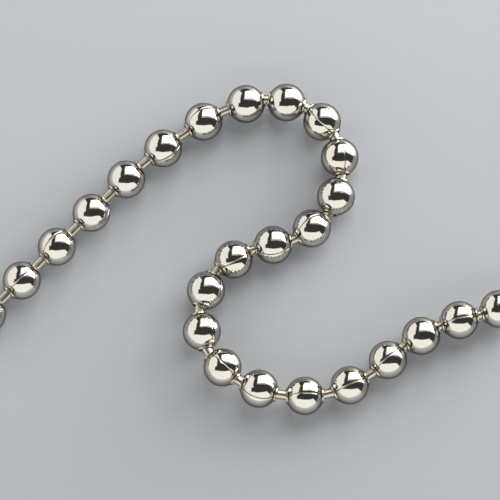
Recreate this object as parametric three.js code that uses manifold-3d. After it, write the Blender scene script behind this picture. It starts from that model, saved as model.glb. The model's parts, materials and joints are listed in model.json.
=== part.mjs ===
// A nickel-plated ball chain for a roller blind, lying in a loose S on a flat surface.
// Hollow balls are rolled from strip, with a seam along one side and a turned lip round each mouth.
// Every two balls are joined by one headed link, whose heads are held inside the balls.
// Millimetres, +Z up. The chain lies on z = 0 and the origin is under the middle of its box.

import * as THREE from "three";
import { mergeVertices } from "three/addons/utils/BufferGeometryUtils.js";
import Module from "manifold-3d";

// Driving dimensions of the ball
const ballDiameter = 4.5;
const stripThickness = 0.25;
const seamGap = 0.1;
const lipHeight = 0.08;
const lipWidth = 0.15;

// Driving dimensions of the headed link
const shankDiameter = 1.15;
const headThickness = 1.2;
const tautGap = 1.5; // daylight between two balls of the chain pulled tight

// Clearances between the link and the ball
const mouthPlay = 0.2; // round the shank in the mouth
const headOverhang = 0.1; // what the head is wider than the mouth, all round
const seatClearance = 0.02; // between head and mouth when the chain is pulled tight
const tiltShift = 0.5; // how far a slack link's tilt centre moves out, for each mm it is slid in

// How the chain lies, from its left end. Each stretch has the bend across each of its links, in
// degrees to the left, and the share of the taut gap that is closed because the links are slid in.
const firstHeading = 46;
const stretches = [
  { slackShare: 0.13, bends: [-1, 0, 1, -2, -6, -7] },
  { slackShare: 0.33, bends: [-15] },
  { slackShare: 0.77, bends: [-28, -35, -35, -27, -35] },
  { slackShare: 0.67, bends: [-25, 20, 36, 35, 35, 24] },
  { slackShare: 0.37, bends: [20, 25, 16] },
  { slackShare: 0.73, bends: [-11, -16, 2] },
];

// Where each ball's seam faces, in degrees from straight up towards the left of its heading
const seamAngles = [
  150, -3, 20, -63, -120, -46, 26, 170, 140, -15, 14, -150, -19,
  44, 19, 54, 37, 3, -40, -4, -8, -1, 160, -6, -130,
];

// Facets of the round forms
const ballSegments = 12;
const ballArcSteps = 6;
const hollowArcSteps = 3;
const linkSegments = 10;
const headArcSteps = 3;
const mergeTolerance = 1e-4;

// Sizes that follow from the driving dimensions
const ballRadius = ballDiameter / 2;
const hollowRadius = ballRadius - stripThickness;
const shankRadius = shankDiameter / 2;
const mouthRadius = shankRadius + mouthPlay;
const headRadius = mouthRadius + headOverhang;
const lipRadius = mouthRadius + lipWidth;
const lipDepth = Math.sqrt(ballRadius ** 2 - mouthRadius ** 2) + lipHeight;
const mouthDepth = Math.sqrt(hollowRadius ** 2 - mouthRadius ** 2);
const headReach = (headThickness / 2) * Math.sqrt(1 - (mouthRadius / headRadius) ** 2);
const seatDepth = mouthDepth - headReach - seatClearance;
const tautPitch = ballDiameter + tautGap;
const headSpacing = tautPitch - 2 * seatDepth;

const wasm = await Module();
wasm.setup();

const ballPlating = new THREE.MeshStandardMaterial({ color: 0xb9b1a2, roughness: 0.12, metalness: 1 });
const linkPlating = new THREE.MeshStandardMaterial({ color: 0xb5a78e, roughness: 0.2, metalness: 1 });

// Leaves only positions, joins equal vertices and drops the triangles that this flattens
function weld(geometry) {
  geometry.deleteAttribute("normal");
  geometry.deleteAttribute("uv");
  const merged = mergeVertices(geometry, mergeTolerance);
  const corners = Array.from(merged.index.array);
  const kept = [];
  for (let i = 0; i < corners.length; i += 3) {
    const [a, b, c] = corners.slice(i, i + 3);
    if (a !== b && b !== c && c !== a) kept.push(a, b, c);
  }
  merged.setIndex(kept);
  return merged;
}

function toSolid(geometry) {
  const welded = weld(geometry);
  const vertProperties = Float32Array.from(welded.attributes.position.array);
  const triVerts = Uint32Array.from(welded.index.array);
  return new wasm.Manifold(new wasm.Mesh({ numProp: 3, vertProperties, triVerts }));
}

function toGeometry(solid) {
  const mesh = solid.getMesh();
  const geometry = new THREE.BufferGeometry();
  geometry.setAttribute("position", new THREE.BufferAttribute(mesh.vertProperties, mesh.numProp));
  geometry.setIndex(new THREE.BufferAttribute(mesh.triVerts, 1));
  geometry.computeVertexNormals();
  return geometry;
}

// Turns a profile of (radius, place along the axis) points round the X axis
function revolve(profile, segments) {
  const geometry = new THREE.LatheGeometry(profile, segments);
  geometry.rotateZ(-Math.PI / 2);
  return geometry;
}

// Points along an arc of an ellipse: angle 0 is its far end on the axis, and pi its near end
function arc(radius, halfLength, centre, from, to, steps) {
  const points = [];
  for (let i = 0; i <= steps; i++) {
    const angle = from + ((to - from) * i) / steps;
    points.push(new THREE.Vector2(radius * Math.sin(angle), centre - halfLength * Math.cos(angle)));
  }
  return points;
}

// The ball's outside, closed on the axis: a flat lip, its slope, the ball and the other lip
function ballBody() {
  const footAngle = Math.asin(lipRadius / ballRadius);
  const profile = [
    new THREE.Vector2(0, -lipDepth),
    new THREE.Vector2(mouthRadius, -lipDepth),
    ...arc(ballRadius, ballRadius, 0, footAngle, Math.PI - footAngle, ballArcSteps),
    new THREE.Vector2(mouthRadius, lipDepth),
    new THREE.Vector2(0, lipDepth),
  ];
  return toSolid(revolve(profile, ballSegments));
}

// What is hollow in a ball: the space inside the strip and the two mouths that lead into it
function ballHollow() {
  const mouthAngle = Math.asin(mouthRadius / hollowRadius);
  const beyond = ballDiameter;
  const profile = [
    new THREE.Vector2(0, -beyond),
    new THREE.Vector2(mouthRadius, -beyond),
    ...arc(hollowRadius, hollowRadius, 0, mouthAngle, Math.PI - mouthAngle, hollowArcSteps),
    new THREE.Vector2(mouthRadius, beyond),
    new THREE.Vector2(0, beyond),
  ];
  return toSolid(revolve(profile, ballSegments));
}

// The slit where the edges of the rolled strip meet, from mouth to mouth along the top
function seamCut() {
  const slit = new THREE.BoxGeometry(ballDiameter * 2, seamGap, ballDiameter);
  slit.translate(0, 0, ballDiameter / 2);
  return toSolid(slit);
}

const ballGeometry = () => toGeometry(ballBody().subtract(ballHollow()).subtract(seamCut()));

// One turned piece: a rounded head, the shank and the other head
function linkGeometry() {
  const neckAngle = Math.PI - Math.asin(shankRadius / headRadius);
  const headCentre = headSpacing / 2;
  const halfHead = headThickness / 2;
  const profile = [
    ...arc(headRadius, halfHead, -headCentre, 0, neckAngle, headArcSteps),
    ...arc(headRadius, halfHead, headCentre, Math.PI - neckAngle, Math.PI, headArcSteps),
  ];
  return weld(revolve(profile, linkSegments));
}

// A step of the given length in the plane, along a heading in degrees
function step(length, heading) {
  const angle = THREE.MathUtils.degToRad(heading);
  return new THREE.Vector3(length * Math.cos(angle), length * Math.sin(angle), 0);
}

// A piece with its axis along a heading, rolled about that axis to its left, both in degrees
function makePiece(word, number, geometry, material, position, heading, roll) {
  const piece = new THREE.Mesh(geometry, material);
  piece.name = `${word}_${String(number).padStart(2, "0")}`;
  piece.position.copy(position);
  piece.rotation.set(-THREE.MathUtils.degToRad(roll), 0, THREE.MathUtils.degToRad(heading), "ZYX");
  return piece;
}

// Lays the beads and links one after the other. A link turns half of its bend in each of its beads.
function layChain() {
  const chain = new THREE.Group();
  const ball = ballGeometry();
  const link = linkGeometry();
  const centre = new THREE.Vector3(0, 0, ballRadius);
  let heading = firstHeading;
  let number = 1;
  const addBead = () => {
    const seamAngle = seamAngles[number - 1];
    chain.add(makePiece("bead", number, ball, ballPlating, centre, heading, seamAngle));
  };

  addBead();
  for (const { slackShare, bends } of stretches) {
    const slideIn = (slackShare * tautGap) / 2;
    const tiltDepth = seatDepth + tiltShift * slideIn;
    for (const bend of bends) {
      const linkHeading = heading + bend / 2;
      const tiltCentre = centre.clone().add(step(tiltDepth, heading));
      heading += bend;
      centre.add(step(tautPitch - 2 * slideIn, linkHeading));
      const nextTiltCentre = centre.clone().sub(step(tiltDepth, heading));
      const middle = tiltCentre.lerp(nextTiltCentre, 0.5);
      chain.add(makePiece("link", number, link, linkPlating, middle, linkHeading, 0));
      number += 1;
      addBead();
    }
  }
  return chain;
}

// Moves the chain so that it stands on z = 0, with the origin under the middle of its box
function standOnOrigin(chain) {
  const box = new THREE.Box3().setFromObject(chain, true);
  const middle = box.getCenter(new THREE.Vector3());
  for (const piece of chain.children) piece.position.sub(new THREE.Vector3(middle.x, middle.y, box.min.z));
  return chain;
}

export default standOnOrigin(layChain());
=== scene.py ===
import json
import math

import bpy
import numpy as np
from bpy.props import FloatProperty, FloatVectorProperty, IntProperty, PointerProperty
from mathutils import Matrix, Vector

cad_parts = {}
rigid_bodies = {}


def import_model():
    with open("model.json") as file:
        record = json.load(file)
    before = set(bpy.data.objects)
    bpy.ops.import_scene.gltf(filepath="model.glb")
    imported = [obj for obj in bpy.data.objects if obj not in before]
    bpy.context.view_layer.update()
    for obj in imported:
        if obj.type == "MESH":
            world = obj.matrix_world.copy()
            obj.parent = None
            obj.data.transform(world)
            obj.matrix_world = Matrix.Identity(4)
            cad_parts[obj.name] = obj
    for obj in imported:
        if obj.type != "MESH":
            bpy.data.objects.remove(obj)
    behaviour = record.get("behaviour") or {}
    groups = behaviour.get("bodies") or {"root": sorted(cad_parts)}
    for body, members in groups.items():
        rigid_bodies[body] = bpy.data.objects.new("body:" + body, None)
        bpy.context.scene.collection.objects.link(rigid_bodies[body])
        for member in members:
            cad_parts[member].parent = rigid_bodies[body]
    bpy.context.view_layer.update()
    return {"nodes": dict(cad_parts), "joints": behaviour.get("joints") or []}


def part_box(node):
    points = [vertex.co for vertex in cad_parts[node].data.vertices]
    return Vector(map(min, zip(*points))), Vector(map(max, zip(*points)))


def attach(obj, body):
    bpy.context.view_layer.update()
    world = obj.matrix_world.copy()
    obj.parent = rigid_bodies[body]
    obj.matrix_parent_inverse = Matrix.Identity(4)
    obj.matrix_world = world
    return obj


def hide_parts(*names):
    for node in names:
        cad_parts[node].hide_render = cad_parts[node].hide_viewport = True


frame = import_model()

bl_info = {
    "name": "Blind ball chain",
    "version": (1, 0, 0),
    "blender": (4, 5, 0),
    "location": "View3D > Sidebar > Ball chain",
    "description": "Rolled balls and headed links of a roller blind's chain, on a pale table",
    "category": "Add Mesh",
}

MM = 0.001
BALLS = sum(name.startswith("bead") for name in frame["nodes"])

# Where each ball's seam faces, in degrees from straight up towards the left of the ball's heading
SEAM_ANGLES = (
    150, -3, 20, -63, -120, -46, 26, 170, 140, -15, 14, -150, -19,
    44, 19, 54, 37, 3, -40, -4, -8, -1, 160, -6, -130,
)

# Fineness of the small forms, in grid steps
FILLET_STEPS = 4
RIM_STEPS = 8
MOUTH_STEPS = 2
EDGE_STEPS = 7
LINK_STEPS_AROUND = 48
SHANK_STEPS = 9
CONE_STEPS = 4
HEAD_STEPS = 13

# Unevenness: how many waves make a ball's dents, and a link's ovalness as a share of its radius
DENT_WAVES = 6
LINK_OVALNESS = 0.004

# How far the colour is darkened and warmed along a seam, and what the darkened places (lip grooves and
# seam) and the painted inside glow add to the roughness
SEAM_DARKENING = 0.25
DARKENED_ROUGHNESS = 0.2
INSIDE_ROUGHNESS = 0.4

# The plating's ripple, and how deep a scratch is as a share of it
RIPPLE_HEIGHT = 0.01 * MM
SCRATCH_DEPTH = 0.05

TABLE_HALF_WIDTH = 1.5
TABLE_ROUGHNESS = 0.3
PICTURE_CENTRE = Vector((0.78, -0.19, 2.25)) * MM

# Each soft lamp's corner, the two sides that leave it, and the name of its brightness. Lengths are
# in lamp distances, so that one value moves all the lamps nearer or further away.
LAMPS = {
    "west_lamp": ((-0.96, 2.1, 0), (-0.06, -2.2, 0), (0, 0, 1.46), "west_radiance"),
    "low_west_lamp": ((-1.02, -0.1, 0), (-0.43, -0.9, 0), (0, 0, 1), "west_radiance"),
    "south_lamp": ((-1.45, -1, 0), (3.25, 0, 0), (0, 0, 1.33), "south_radiance"),
    "top_lamp": ((-0.13, 0.42, 1.1), (0.98, 0, -0.407), (0, 2.4, 0), "top_radiance"),
    "key_lamp": ((0.85, 0.42, 0.693), (1.62, 0, -0.673), (0, 2.4, 0), "key_radiance"),
    "spill_lamp": ((-0.25, 0.24, 1.15), (2.9, 0, -1.14), (0, 2.9, 0), "spill_radiance"),
}


def length(name, description, millimetres):
    """A length that a user can change, with its default given in millimetres."""
    return FloatProperty(name=name, description=description, default=millimetres * MM,
                         unit="LENGTH", precision=5)


def colour(name, description, default):
    """A colour that a user can change."""
    return FloatVectorProperty(name=name, description=description, default=default,
                               subtype="COLOR", size=3, min=0, max=1)


class ChainSizes(bpy.types.PropertyGroup):
    """Sizes of the rolled ball and the headed link"""

    ball_diameter: length("Ball diameter", "Outside diameter of a ball", 4.5)
    strip_thickness: length("Strip thickness", "Wall of the rolled strip", 0.25)
    mouth_radius: length("Mouth radius", "Radius of the hole at each end of a ball", 0.775)
    lip_width: length("Lip width", "Wall of the turned lip round a mouth", 0.15)
    lip_height: length("Lip height", "How far the lip stands above the ball at the mouth", 0.11)
    lip_fillet: length("Lip fillet", "Radius of the hollow between the ball and its lip", 0.06)
    seam_gap: length("Seam gap", "Slit between the two edges of the rolled strip", 0.04)
    seam_round: length("Seam rounding", "Radius of the strip's rounded edges", 0.05)
    seam_sink: length("Seam sink", "How far the strip turns in towards its edges", 0.014)
    seam_step: length("Seam step", "How much deeper one edge of the strip sits than the other", 0.01)
    dent_depth: length("Dent depth", "Depth of the shallow unevenness of a ball", 0.006)
    shank_radius: length("Shank radius", "Radius of a link between its heads", 0.575)
    head_radius: length("Head radius", "Radius of the heads that are held in the balls", 0.875)
    head_thickness: length("Head thickness", "Thickness of a head along the link", 1.2)
    head_spacing: length("Head spacing", "From the middle of one head of a link to the other", 2.91)
    steps_around: IntProperty(
        name="Steps around", description="Grid steps round a ball from edge to edge", default=88, min=8)
    steps_along: IntProperty(
        name="Steps along", description="Grid steps from mouth to mouth", default=40, min=4)


class ChainFinish(bpy.types.PropertyGroup):
    """Colours of the plating, and the painted reflection, shade and glow of the balls' lip grooves and
    insides
    """

    ball_nickel: colour("Ball nickel", "Reflected colour of the plated balls", (0.555, 0.525, 0.465))
    link_nickel: colour("Link nickel", "Reflected colour of the plated links", (0.58, 0.545, 0.465))
    # Worn plating colour of the links; on the balls it is painted into each lip's groove as the link's
    # reflection and shade there, and mixed in along the seams
    worn_nickel_and_painted_shade: colour("Worn nickel", "Colour where the plating is thin", (0.48, 0.41, 0.30))
    # Painted warm brown inside each ball, standing in for light bounced round inside the mouth
    painted_inside_glow: colour("Bare strip", "Colour of the strip inside a ball", (0.30, 0.19, 0.10))
    edge_tint: colour("Edge tint", "What the plating reflects where it turns away", (0.25, 0.27, 0.32))


class StageSetup(bpy.types.PropertyGroup):
    """Table, lamps, room and camera"""

    table: colour("Table", "Colour of the table", (0.415, 0.43, 0.45))
    room: colour("Room", "Dim light of the room between the lamps", (0.062, 0.063, 0.066))
    lamp_distance: FloatProperty(
        name="Lamp distance", description="How far the soft lamps stand from the chain",
        default=0.4, unit="LENGTH")
    west_radiance: FloatProperty(
        name="West lamp", description="Brightness of the west lamp", default=1.4)
    south_radiance: FloatProperty(
        name="South lamp", description="Brightness of the south lamp", default=1.5)
    key_radiance: FloatProperty(
        name="Key lamp", description="Brightness of the low part of the north-east lamp", default=9.0)
    top_radiance: FloatProperty(
        name="Top lamp", description="Brightness of the high part of the north-east lamp", default=2.2)
    spill_radiance: FloatProperty(
        name="Spill lamp", description="Brightness of the soft border of the north-east lamp", default=0.8)
    elevation: FloatProperty(
        name="Camera elevation", description="Angle of the camera above the table",
        default=math.radians(76), unit="ROTATION")
    picture_width: length("Picture width", "Width of the picture at the chain", 500 / 8.45)
    lens: FloatProperty(
        name="Lens", description="Focal length of the camera in millimetres", default=400)


def unit(vector):
    """The direction of a vector, at length 1."""
    return vector / np.linalg.norm(vector)


def hinge_points(body):
    """The hinge points on a body, by the name of the body on the hinge's other side."""
    found = {}
    for joint in frame["joints"]:
        for here, there in (("parent", "child"), ("child", "parent")):
            if joint[here] == body:
                found[joint[there]] = np.array(joint["pos_m"])
    return found


def place_of(node, before, after):
    """Middle of a node's box, and its heading from the hinge at the body before it to the one after."""
    middle = np.mean([tuple(corner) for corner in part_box(node)], 0)
    hinges = hinge_points(node)
    heading = (hinges.get(after, middle) - hinges.get(before, middle)) * (1, 1, 0)
    return middle, unit(heading)


def in_frame(along, across, up, middle, heading):
    """Points at middle + along * heading + across * (the level way to its left) + up * (straight up)."""
    left = (-heading[1], heading[0], 0.0)
    return (middle + np.multiply.outer(along, heading) + np.multiply.outer(across, left)
            + np.multiply.outer(up, (0.0, 0.0, 1.0)))


def quads(grid):
    """One quad between each four neighbours of a grid of point numbers."""
    return np.stack([grid[:-1, :-1], grid[1:, :-1], grid[1:, 1:], grid[:-1, 1:]], -1).reshape(-1, 4)


def add_surface(name, points, faces, masks=()):
    """A smooth mesh at the origin, with its place in its points and its masks as attributes."""
    mesh = bpy.data.meshes.new(name)
    mesh.from_pydata(points.reshape(-1, 3), [], faces)
    mesh.polygons.foreach_set("use_smooth", np.ones(len(mesh.polygons), bool))
    for label, values in dict(masks).items():
        layer = mesh.attributes.new(label, "FLOAT", "POINT")
        layer.data.foreach_set("value", values.astype(np.float32).ravel())
    mesh.update()
    piece = bpy.data.objects.new(name, mesh)
    bpy.context.scene.collection.objects.link(piece)
    return piece


def ball_section(sizes):
    """The section of a ball's strip as rows of (radius, place along the axis), outside and inside.

    The outside is a circle of the ball's radius R. A fillet of radius f leads from it to the lip,
    with its middle at the radius r = mouth_radius + lip_width + f and at sqrt((R + f)^2 - r^2)
    along the axis. The lip is a short tube that ends in a half circle. The mouth runs straight in
    from there, and the inside is the circle less the strip's thickness, from mouth to mouth.
    """
    radius = sizes.ball_diameter / 2
    hollow = radius - sizes.strip_thickness
    fillet = sizes.lip_fillet
    fillet_radius = sizes.mouth_radius + sizes.lip_width + fillet
    foot = math.asin(fillet_radius / (radius + fillet))

    def arc(middle, size, start, end, steps):
        angle = np.linspace(start, end, steps + 1)
        return np.stack([middle[0] + size * np.sin(angle), middle[1] + size * np.cos(angle)], -1)

    circle = arc((0, 0), radius, math.pi / 2, foot, sizes.steps_along // 2)
    hollow_foot = arc((fillet_radius, (radius + fillet) * math.cos(foot)), fillet,
                      foot + math.pi, 1.5 * math.pi, FILLET_STEPS)[1:]
    rounding = sizes.lip_width / 2
    lip_end = math.sqrt(radius ** 2 - sizes.mouth_radius ** 2) + sizes.lip_height
    rim = arc((sizes.mouth_radius + rounding, lip_end - rounding), rounding,
              math.pi / 2, -math.pi / 2, RIM_STEPS)
    lip = np.concatenate([hollow_foot, rim])

    mouth_depth = math.sqrt(hollow ** 2 - sizes.mouth_radius ** 2)
    depth = np.linspace(lip[-1, 1], mouth_depth, MOUTH_STEPS + 1)[1:]
    mouth = np.stack([np.full_like(depth, sizes.mouth_radius), depth], -1)

    half = np.concatenate([circle, lip, mouth])
    outside = np.concatenate([half[:0:-1] * (1, -1), half])
    mouth_angle = math.asin(sizes.mouth_radius / hollow)
    angle = np.linspace(mouth_angle, math.pi - mouth_angle, len(outside))
    inside = np.stack([hollow * np.sin(angle), -hollow * np.cos(angle)], -1)
    return outside, inside


def shares_around(sizes):
    """Shares of the way round a ball from one edge of the strip to the other.

    They are closest at the edges: over three times seam_round they grow as a power of 1.3, and from
    there to the middle they are even.
    """
    edge_share = 3 * sizes.seam_round / (math.pi * sizes.ball_diameter)
    near = edge_share * np.linspace(0, 1, EDGE_STEPS + 1) ** 1.3
    rest = np.linspace(near[-1], 0.5, sizes.steps_around // 2 + 1)[1:]
    half = np.concatenate([near, rest])
    return np.concatenate([half, 1 - half[-2::-1]])


def dents(along, share, depth, seed):
    """Shallow unevenness: depth times twice the mean of seeded waves, cos(round) * cos(along)."""
    rng = np.random.default_rng(seed)
    shape = (DENT_WAVES, 1, 1)
    turns, waves = rng.integers(1, 6, shape), rng.uniform(2.5, 10, shape)
    start, shift = rng.uniform(0, 2 * math.pi, (2, *shape))
    heights = np.cos(2 * math.pi * turns * share + start) * np.cos(waves * along + shift)
    return 2 * depth * heights.mean(0)


def rolled_ball(sizes, number):
    """A ball rolled from strip. Its section is carried round the axis from one edge to the other.

    The outside lies below its section by the seam's fall, which depends on the distance e from the
    nearest edge: a quarter circle of seam_round, plus seam_sink (and seam_step on one side) times
    exp(-(e / sink_width) squared). The dents are added to that. The slit between the edges is
    seam_gap wide from mouth to mouth.
    """
    middle, heading = place_of(f"bead_{number:02d}", f"link_{number - 1:02d}", f"link_{number:02d}")
    outside, inside = ball_section(sizes)
    share = shares_around(sizes)[None, :]
    radius, along = outside[:, :1], outside[:, 1:]
    ball_radius = sizes.ball_diameter / 2

    edge = np.minimum(share, 1 - share) * 2 * math.pi * radius
    sink = sizes.seam_sink + sizes.seam_step * (share < 0.5)
    sink_width = 2.2 * sizes.seam_round
    deepest_fall = 0.7 * sizes.strip_thickness
    fall = sizes.seam_round * (1 - np.sqrt(1 - np.clip(1 - edge / sizes.seam_round, 0, 1) ** 2))
    fall = fall + sink * np.exp(-(edge / sink_width) ** 2)
    uneven = dents(along / ball_radius, share, sizes.dent_depth, number)
    scale = 1 - (np.minimum(fall, deepest_fall) - uneven) / ball_radius

    def carried(radius, along):
        slit = np.arcsin(sizes.seam_gap / 2 / radius)
        angle = math.radians(SEAM_ANGLES[number - 1]) + slit + share * (2 * math.pi - 2 * slit)
        return in_frame(along, radius * np.sin(angle), radius * np.cos(angle), middle, heading)

    outer = carried(radius * scale, along * scale)
    inner = carried(inside[:, :1] + 0 * share, inside[:, 1:] + 0 * share)
    numbers = np.arange(outer[..., 0].size).reshape(outer.shape[:2])
    inner_numbers = numbers + numbers.size
    loop = np.concatenate([numbers, inner_numbers[::-1], numbers[:1]])
    near_edge = np.stack([inner_numbers[:, 0], numbers[:, 0]], -1)
    far_edge = np.stack([numbers[:, -1], inner_numbers[:, -1]], -1)
    faces = np.concatenate([quads(loop), quads(near_edge), quads(far_edge)])

    # Masks for the colour: darker and warmer along the seam's slit, the painted reflection and shade of
    # the link in the groove at each lip's foot, and the painted glow inside
    seam_tint_width = 0.16 * MM
    seam = np.exp(-(edge / seam_tint_width) ** 2)
    lip_foot = sizes.mouth_radius + sizes.lip_width + sizes.lip_fillet / 2
    groove_shade_width = 1.5 * sizes.lip_fillet
    mouth = np.exp(-((radius - lip_foot) / groove_shade_width) ** 2) + 0 * share
    none, full = np.zeros_like(seam), np.ones_like(seam)
    masks = {"seam": np.stack([seam, full]), "mouth": np.stack([mouth, full]),
             "inside": np.stack([none, full])}
    return add_surface(f"rolled_ball_{number:02d}", np.stack([outer, inner]), faces, masks)


def headed_link(sizes, number):
    """A headed link: its outline turned round its axis, with a little ovalness, and closed at the ends.

    The middles of the heads are head_spacing apart, and each head's outer half is a quarter of an
    ellipse, head_radius by half of head_thickness. Its inner half is a cone from its middle to the
    shank, which it meets where the same ellipse would be shank_radius wide. The shank is straight.
    """
    middle, heading = place_of(f"link_{number:02d}", f"bead_{number:02d}", f"bead_{number + 1:02d}")
    half_head = sizes.head_thickness / 2
    angle = np.linspace(math.pi / 2, 0, HEAD_STEPS + 1)
    head = np.stack([sizes.head_radius * np.sin(angle),
                     sizes.head_spacing / 2 + half_head * np.cos(angle)], -1)
    cone_length = half_head * math.sqrt(1 - (sizes.shank_radius / sizes.head_radius) ** 2)
    shank_along = np.linspace(0, sizes.head_spacing / 2 - cone_length, SHANK_STEPS + 1)
    shank = np.stack([np.full_like(shank_along, sizes.shank_radius), shank_along], -1)
    cone = np.linspace(shank[-1], head[0], CONE_STEPS + 1)[1:-1]
    half = np.concatenate([shank, cone, head])
    outline = np.concatenate([half[:0:-1] * (1, -1), half])

    angle = np.linspace(0, 2 * math.pi, LINK_STEPS_AROUND, endpoint=False)[None, :]
    rings = outline[1:-1]
    radius = rings[:, :1] * (1 + LINK_OVALNESS * np.cos(2 * angle + number))
    along = rings[:, 1:] + 0 * angle
    body = in_frame(along, radius * np.sin(angle), radius * np.cos(angle), middle, heading)
    ends = in_frame(outline[[0, -1], 1], np.zeros(2), np.zeros(2), middle, heading)
    numbers = np.arange(along.size).reshape(along.shape)
    first_ring, last_ring = numbers[0], numbers[-1]
    pole = np.full(LINK_STEPS_AROUND, along.size)
    first_end = np.stack([pole, first_ring, np.roll(first_ring, -1)], -1)
    last_end = np.stack([pole + 1, np.roll(last_ring, -1), last_ring], -1)
    sides = quads(np.concatenate([numbers, numbers[:, :1]], 1))
    faces = sides.tolist() + first_end.tolist() + last_end.tolist()
    points = np.concatenate([body.reshape(-1, 3), ends])
    return add_surface(f"headed_link_{number:02d}", points, faces)


def node(tree, kind, inputs=(), **settings):
    """Adds a node, with its settings, and sets its inputs or links other nodes' outputs to them."""
    made = tree.nodes.new(kind)
    for key, value in settings.items():
        setattr(made, key, value)
    for key, value in dict(inputs).items():
        if isinstance(value, bpy.types.NodeSocket):
            tree.links.new(value, made.inputs[key])
        else:
            made.inputs[key].default_value = value
    return made


def mix(tree, share, first, second):
    """A colour between two others, each given as three numbers or as another node's output."""
    first, second = (value if isinstance(value, bpy.types.NodeSocket) else (*value, 1)
                     for value in (first, second))
    return node(tree, "ShaderNodeMix", {"Factor": share, "A": first, "B": second},
                data_type="RGBA").outputs["Result"]


def multiply_add(tree, value, factor, added):
    """The output of a Math node that gives value * factor + added."""
    return node(tree, "ShaderNodeMath", {0: value, 1: factor, 2: added},
                operation="MULTIPLY_ADD").outputs[0]


def wear_group():
    """Uneven plating: a cloudy mask, fine tumbling scratches, and the height of a shallow ripple."""
    if "plating_wear" in bpy.data.node_groups:
        return bpy.data.node_groups["plating_wear"]
    group = bpy.data.node_groups.new("plating_wear", "ShaderNodeTree")
    for label, scale in (("Cloud Scale", 600), ("Ripple Scale", 2400), ("Scratch Scale", 9000)):
        socket = group.interface.new_socket(label, in_out="INPUT", socket_type="NodeSocketFloat")
        socket.default_value = scale
    for label in ("Cloud", "Scratches", "Height"):
        group.interface.new_socket(label, in_out="OUTPUT", socket_type="NodeSocketFloat")
    given = group.nodes.new("NodeGroupInput").outputs
    place = node(group, "ShaderNodeTexCoord").outputs["Object"]
    drawn = node(group, "ShaderNodeMapping",
                 {"Vector": place, "Rotation": (0.4, 0.7, 0.9), "Scale": (1.0, 0.12, 1.0)}).outputs[0]
    cloud = node(group, "ShaderNodeTexNoise",
                 {"Vector": place, "Scale": given["Cloud Scale"]}).outputs[0]
    ripple = node(group, "ShaderNodeTexNoise",
                  {"Vector": place, "Scale": given["Ripple Scale"], "Detail": 1.0}).outputs[0]
    grain = node(group, "ShaderNodeTexNoise",
                 {"Vector": drawn, "Scale": given["Scratch Scale"], "Detail": 1.0}).outputs[0]
    lines = node(group, "ShaderNodeMapRange",
                 {"Value": grain, "From Min": 0.62, "From Max": 0.72}).outputs[0]
    height = multiply_add(group, lines, -SCRATCH_DEPTH, ripple)
    result = group.nodes.new("NodeGroupOutput").inputs
    for label, value in (("Cloud", cloud), ("Scratches", lines), ("Height", height)):
        group.links.new(value, result[label])
    return group


def plated_metal(name, finish, plating):
    """A metal with its Principled shader, the wear of its plating and the ripple in its surface."""
    material = bpy.data.materials.new(name)
    material.use_nodes = True
    tree = material.node_tree
    shader = tree.nodes["Principled BSDF"]
    shader.inputs["Base Color"].default_value = (*plating, 1)
    shader.inputs["Metallic"].default_value = 1
    shader.inputs["Specular Tint"].default_value = (*finish.edge_tint, 1)
    wear = node(tree, "ShaderNodeGroup", node_tree=wear_group())
    ripple = node(tree, "ShaderNodeBump",
                  {"Height": wear.outputs["Height"], "Strength": 1.0, "Distance": RIPPLE_HEIGHT})
    tree.links.new(ripple.outputs[0], shader.inputs["Normal"])
    return material, tree, shader, wear


def ball_nickel(finish):
    """Bright nickel, with painted light: the groove at each lip's foot painted darker and warmer as the
    link's reflection and shade there, the colour darker and warmer along the seam, and the inside painted
    warm brown as light bounced round inside the mouth.
    """
    material, tree, shader, wear = plated_metal("ball_nickel", finish, finish.ball_nickel)
    seam, mouth, inside = (node(tree, "ShaderNodeAttribute", attribute_name=label).outputs["Fac"]
                           for label in ("seam", "mouth", "inside"))
    # Painted reflection and shade in the lip grooves, and the darkening along the seam, mixed into the
    # nickel
    along_seam = multiply_add(tree, seam, SEAM_DARKENING, 0.0)
    darkened = multiply_add(tree, mouth, wear.outputs["Cloud"], along_seam)
    plated = mix(tree, darkened, finish.ball_nickel, finish.worn_nickel_and_painted_shade)
    # The inside is painted warm brown, for light bounced round inside the mouth
    tree.links.new(mix(tree, inside, plated, finish.painted_inside_glow), shader.inputs["Base Color"])
    cloudy = node(tree, "ShaderNodeMapRange",
                  {"Value": wear.outputs["Cloud"], "To Min": 0.05, "To Max": 0.10})
    dull = multiply_add(tree, darkened, DARKENED_ROUGHNESS, cloudy.outputs[0])
    tree.links.new(multiply_add(tree, inside, INSIDE_ROUGHNESS, dull), shader.inputs["Roughness"])
    return material


def link_nickel(finish):
    """Drawn wire under thinner plating: a little duller and warmer than the balls."""
    material, tree, shader, wear = plated_metal("link_nickel", finish, finish.link_nickel)
    plated = mix(tree, wear.outputs["Cloud"], finish.link_nickel, finish.worn_nickel_and_painted_shade)
    tree.links.new(plated, shader.inputs["Base Color"])
    satin = node(tree, "ShaderNodeMapRange",
                 {"Value": wear.outputs["Scratches"], "To Min": 0.3, "To Max": 0.4})
    tree.links.new(satin.outputs[0], shader.inputs["Roughness"])
    return material


def stand_for(piece, cad_node, material):
    """Gives the piece its finish, and puts it in the place of a frame node, on that node's body."""
    piece.data.materials.append(material)
    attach(piece, cad_node)
    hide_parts(cad_node)


class BLINDCHAIN_OT_rolled_balls(bpy.types.Operator):
    """Makes the rolled balls, with their seams and turned lips"""

    bl_idname = "blindchain.rolled_balls"
    bl_label = "Rolled balls"

    def execute(self, context):
        material = ball_nickel(context.scene.chain_finish)
        for number in range(1, BALLS + 1):
            piece = rolled_ball(context.scene.chain_sizes, number)
            stand_for(piece, f"bead_{number:02d}", material)
        return {"FINISHED"}


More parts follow.
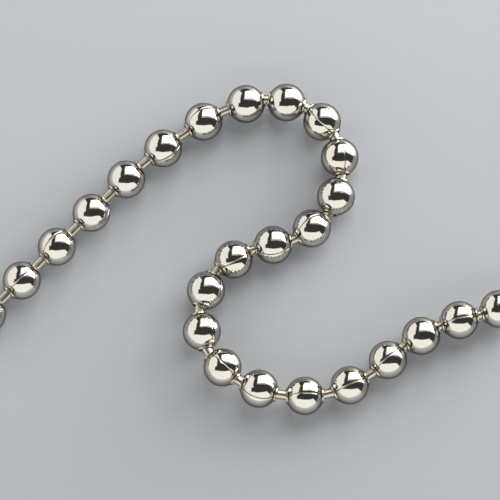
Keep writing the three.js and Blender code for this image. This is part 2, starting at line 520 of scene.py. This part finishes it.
class BLINDCHAIN_OT_headed_links(bpy.types.Operator):
    """Makes the headed links that join the balls"""

    bl_idname = "blindchain.headed_links"
    bl_label = "Headed links"

    def execute(self, context):
        material = link_nickel(context.scene.chain_finish)
        for number in range(1, BALLS):
            piece = headed_link(context.scene.chain_sizes, number)
            stand_for(piece, f"link_{number:02d}", material)
        return {"FINISHED"}


def add_table(stage):
    """A wide, plain, satin table top on z = 0."""
    corners = np.array([(-1, -1, 0), (1, -1, 0), (1, 1, 0), (-1, 1, 0)]) * TABLE_HALF_WIDTH
    table = add_surface("table_top", corners, [(0, 1, 2, 3)])
    paint = bpy.data.materials.new("table_paint")
    paint.use_nodes = True
    shader = paint.node_tree.nodes["Principled BSDF"]
    shader.inputs["Base Color"].default_value = (*stage.table, 1)
    shader.inputs["Roughness"].default_value = TABLE_ROUGHNESS
    table.data.materials.append(paint)


def add_lamp(name, corner, along, up, radiance):
    """A soft rectangular lamp from a corner and its two sides, which shines against along x up."""
    lamp = bpy.data.lights.new(name, "AREA")
    lamp.shape = "RECTANGLE"
    lamp.size, lamp.size_y = along.length, up.length
    lamp.energy = radiance * math.pi * along.length * up.length
    panel = bpy.data.objects.new(name, lamp)
    x, y = along.normalized(), up.normalized()
    turn = Matrix((x, y, x.cross(y))).transposed().to_4x4()
    panel.matrix_world = Matrix.Translation(corner + (along + up) / 2) @ turn
    panel.visible_camera = False
    bpy.context.scene.collection.objects.link(panel)


def add_camera(stage):
    """A long lens that looks from the south at the middle of the picture."""
    back = Vector((0, -math.cos(stage.elevation), math.sin(stage.elevation)))
    data = bpy.data.cameras.new("camera")
    data.lens = stage.lens
    camera = bpy.data.objects.new("camera", data)
    camera.location = PICTURE_CENTRE + back * stage.picture_width * stage.lens / data.sensor_width
    camera.rotation_euler = back.to_track_quat("Z", "Y").to_euler()
    bpy.context.scene.collection.objects.link(camera)
    bpy.context.scene.camera = camera


class BLINDCHAIN_OT_stage(bpy.types.Operator):
    """Makes the pale table, the soft lamps, the dim room and the camera"""

    bl_idname = "blindchain.stage"
    bl_label = "Stage"

    def execute(self, context):
        stage = context.scene.chain_stage
        add_table(stage)
        for name, (*sides, radiance) in LAMPS.items():
            corner, along, up = (Vector(side) * stage.lamp_distance for side in sides)
            add_lamp(name, corner, along, up, getattr(stage, radiance))
        world = bpy.data.worlds.new("room")
        world.use_nodes = True
        world.node_tree.nodes["Background"].inputs["Color"].default_value = (*stage.room, 1)
        context.scene.world = world
        context.scene.view_settings.view_transform = "Standard"
        add_camera(stage)
        return {"FINISHED"}


class BLINDCHAIN_PT_panel(bpy.types.Panel):
    """Lists the sizes, colours and stage of the chain, and the buttons that make its pieces"""

    bl_idname = "BLINDCHAIN_PT_panel"
    bl_label = "Ball chain"
    bl_space_type = "VIEW_3D"
    bl_region_type = "UI"
    bl_category = "Ball chain"

    def draw(self, context):
        for name, group in GROUPS.items():
            box = self.layout.box()
            for prop in group.__annotations__:
                box.prop(getattr(context.scene, name), prop)
        for operator in OPERATORS:
            self.layout.operator(operator.bl_idname)


GROUPS = {"chain_sizes": ChainSizes, "chain_finish": ChainFinish, "chain_stage": StageSetup}
OPERATORS = (BLINDCHAIN_OT_stage, BLINDCHAIN_OT_rolled_balls, BLINDCHAIN_OT_headed_links)
CLASSES = (*GROUPS.values(), *OPERATORS, BLINDCHAIN_PT_panel)


def register():
    """Makes the classes known to Blender, and gives each scene the three groups of properties."""
    for item in CLASSES:
        bpy.utils.register_class(item)
    for name, group in GROUPS.items():
        setattr(bpy.types.Scene, name, PointerProperty(type=group))


def unregister():
    """Takes the properties and the classes away again."""
    for name in GROUPS:
        delattr(bpy.types.Scene, name)
    for item in reversed(CLASSES):
        bpy.utils.unregister_class(item)


def main():
    """Makes the stage and the chain."""
    register()
    bpy.ops.blindchain.stage()
    bpy.ops.blindchain.rolled_balls()
    bpy.ops.blindchain.headed_links()


if __name__ == "__main__":
    main()
